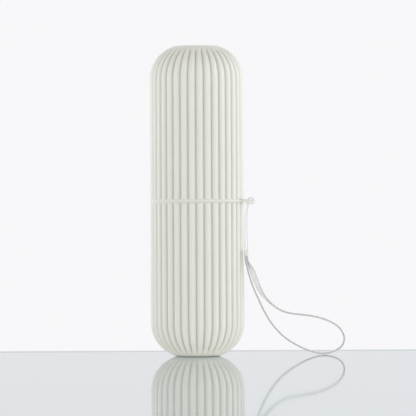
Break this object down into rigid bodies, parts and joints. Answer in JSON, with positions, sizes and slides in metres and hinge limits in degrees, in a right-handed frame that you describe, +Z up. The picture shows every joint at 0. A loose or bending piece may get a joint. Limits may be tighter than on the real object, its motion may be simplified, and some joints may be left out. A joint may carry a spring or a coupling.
{
  "type": "travel toothbrush cup",
  "caption": "Capsule-shaped travel toothbrush case: ribbed upper and lower cups push onto a joining ring with a strap ear; a brush rack lifts out, and a flat wrist strap hangs on a string.",
  "frame": {"origin": "centre of the lower cup's flat end, which the case stands on", "axes": "+Z up along the case; +X from the axis to the strap ear"},
  "size_m": [0.1185, 0.0846, 0.205],
  "materials": {
    "ivory_plastic": "fine satin, warm ivory",
    "ring_ivory_plastic": "fine satin, warm ivory",
    "clear_white_silicone": "soft matt, milky white",
    "rack_white_plastic": "satin white",
    "woven_white_nylon": "tight flat weave, off-white",
    "crimp_white_plastic": "smooth, slightly glossy white"
  },
  "bodies": {
    "lower_cup": {"lower_cup": "ivory_plastic"},
    "joining_ring": {"joining_ring": "ring_ivory_plastic", "upper_seal": "clear_white_silicone", "lower_seal": "clear_white_silicone", "strap_string": "woven_white_nylon", "strap_crimp": "crimp_white_plastic", "wrist_band": "woven_white_nylon"},
    "upper_cup": {"upper_cup": "ivory_plastic"},
    "brush_rack": {"brush_rack": "rack_white_plastic"}
  },
  "joints": [
    {"name": "ring_lift", "type": "slide", "parent": "lower_cup", "child": "joining_ring", "axis": [0, 0, 1], "range_m": [0, 0.04]},
    {"name": "upper_cup_lift", "type": "slide", "parent": "joining_ring", "child": "upper_cup", "axis": [0, 0, 1], "range_m": [0, 0.12]},
    {"name": "rack_lift", "type": "slide", "parent": "joining_ring", "child": "brush_rack", "axis": [0, 0, 1], "range_m": [0, 0.06]}
  ]
}
